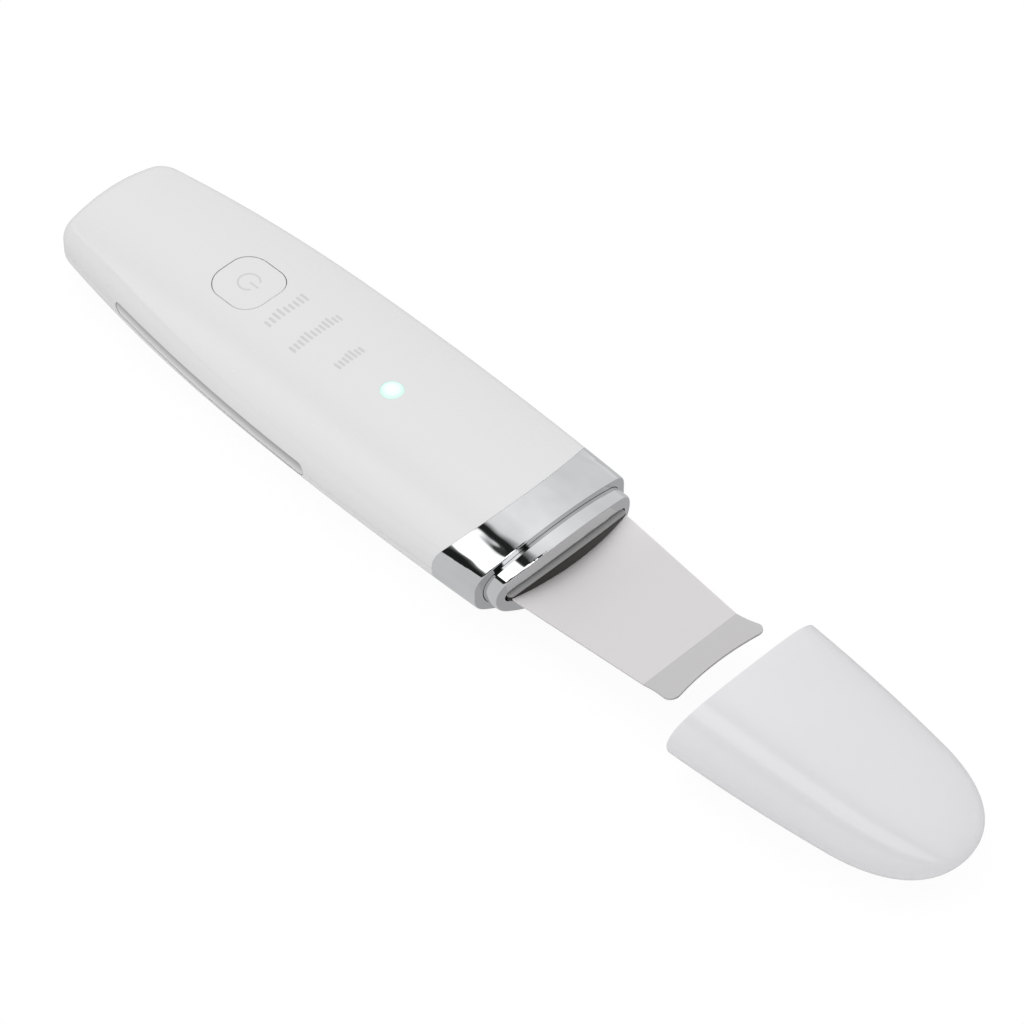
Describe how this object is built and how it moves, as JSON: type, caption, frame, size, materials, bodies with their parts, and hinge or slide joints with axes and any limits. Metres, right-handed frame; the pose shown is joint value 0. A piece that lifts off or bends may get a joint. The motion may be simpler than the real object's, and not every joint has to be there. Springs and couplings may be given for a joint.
{
  "type": "ultrasonic skin scrubber",
  "caption": "Handheld ultrasonic skin scrubber: flat oval handle with a power button, chromed nose, bent steel blade and a domed pull-off cap.",
  "frame": {"origin": "point of the flat on the back cover that the device rests on, 67.5 mm ahead of the tail end and on the handle's middle plane", "axes": "+X along the handle towards the blade's tip, +Y across the handle, +Z out of the front face with the button"},
  "size_m": [0.2506, 0.0462, 0.0201],
  "materials": {
    "white_shell": "moulded gloss white",
    "white_button": "moulded white, satin",
    "cap_plastic": "milky gloss white, faintly translucent",
    "chrome": "mirror plating",
    "blade_steel": "fine satin, near mirror",
    "dark_seal": "dark grey, soft gloss",
    "contact_metal": "satin silver",
    "silicone": "matt silicone",
    "horn_alloy": "turned",
    "screw_steel": "zinc plated",
    "mass_steel": "turned steel",
    "piezo_ceramic": "fired, silvered faces",
    "brass": "thin sheet",
    "grey_plastic": "moulded",
    "board": "green solder mask",
    "socket_metal": "drawn steel shell",
    "black_plastic": "moulded",
    "lens": "clear light guide, lit pale green",
    "led": "moulded package",
    "ferrite": "pressed ferrite",
    "winding": "enamelled copper wire",
    "can_metal": "sleeved can",
    "cell_foil": "foil pouch",
    "foam": "foam tape",
    "red_wire": "insulated lead",
    "white_wire": "insulated lead",
    "black_wire": "insulated lead"
  },
  "bodies": {
    "handpiece": {"front_cover": "white_shell", "back_cover": "white_shell", "left_electrode": "contact_metal", "right_electrode": "contact_metal", "chrome_collar": "chrome", "nose_ring": "chrome", "ring_gasket": "silicone", "blade_seal": "dark_seal", "blade": "blade_steel", "horn": "horn_alloy", "tang_screws": "screw_steel", "piezo_rings": "piezo_ceramic", "electrode_rings": "brass", "back_mass": "mass_steel", "preload_bolt": "screw_steel", "isolator_rings": "silicone", "cradle": "grey_plastic", "main_board": "board", "board_screws": "screw_steel", "charging_socket": "socket_metal", "switch_body": "black_plastic", "indicator_lens": "lens", "status_led": "led", "chips": "black_plastic", "transformer_core": "ferrite", "transformer_winding": "winding", "capacitors": "can_metal", "battery_cell": "cell_foil", "cell_pad": "foam", "battery_leads": "red_wire", "stack_leads": "white_wire", "contact_leads": "black_wire"},
    "button": {"power_button": "white_button"},
    "plunger": {"switch_plunger": "black_plastic"},
    "cap": {"cap": "cap_plastic"}
  },
  "joints": [
    {"name": "button_press", "type": "slide", "parent": "handpiece", "child": "button", "axis": [0, 0, -1], "range_m": [0, 0.00045]},
    {"name": "plunger_press", "type": "slide", "parent": "handpiece", "child": "plunger", "axis": [0, 0, -1], "range_m": [0, 0.00045]},
    {"name": "cap_slide", "type": "slide", "parent": "handpiece", "child": "cap", "axis": [1, 0, 0], "range_m": [-0.054, 0]}
  ],
  "couplings": [
    {"joint": "plunger_press", "follows": "button_press", "ratio": 1}
  ]
}
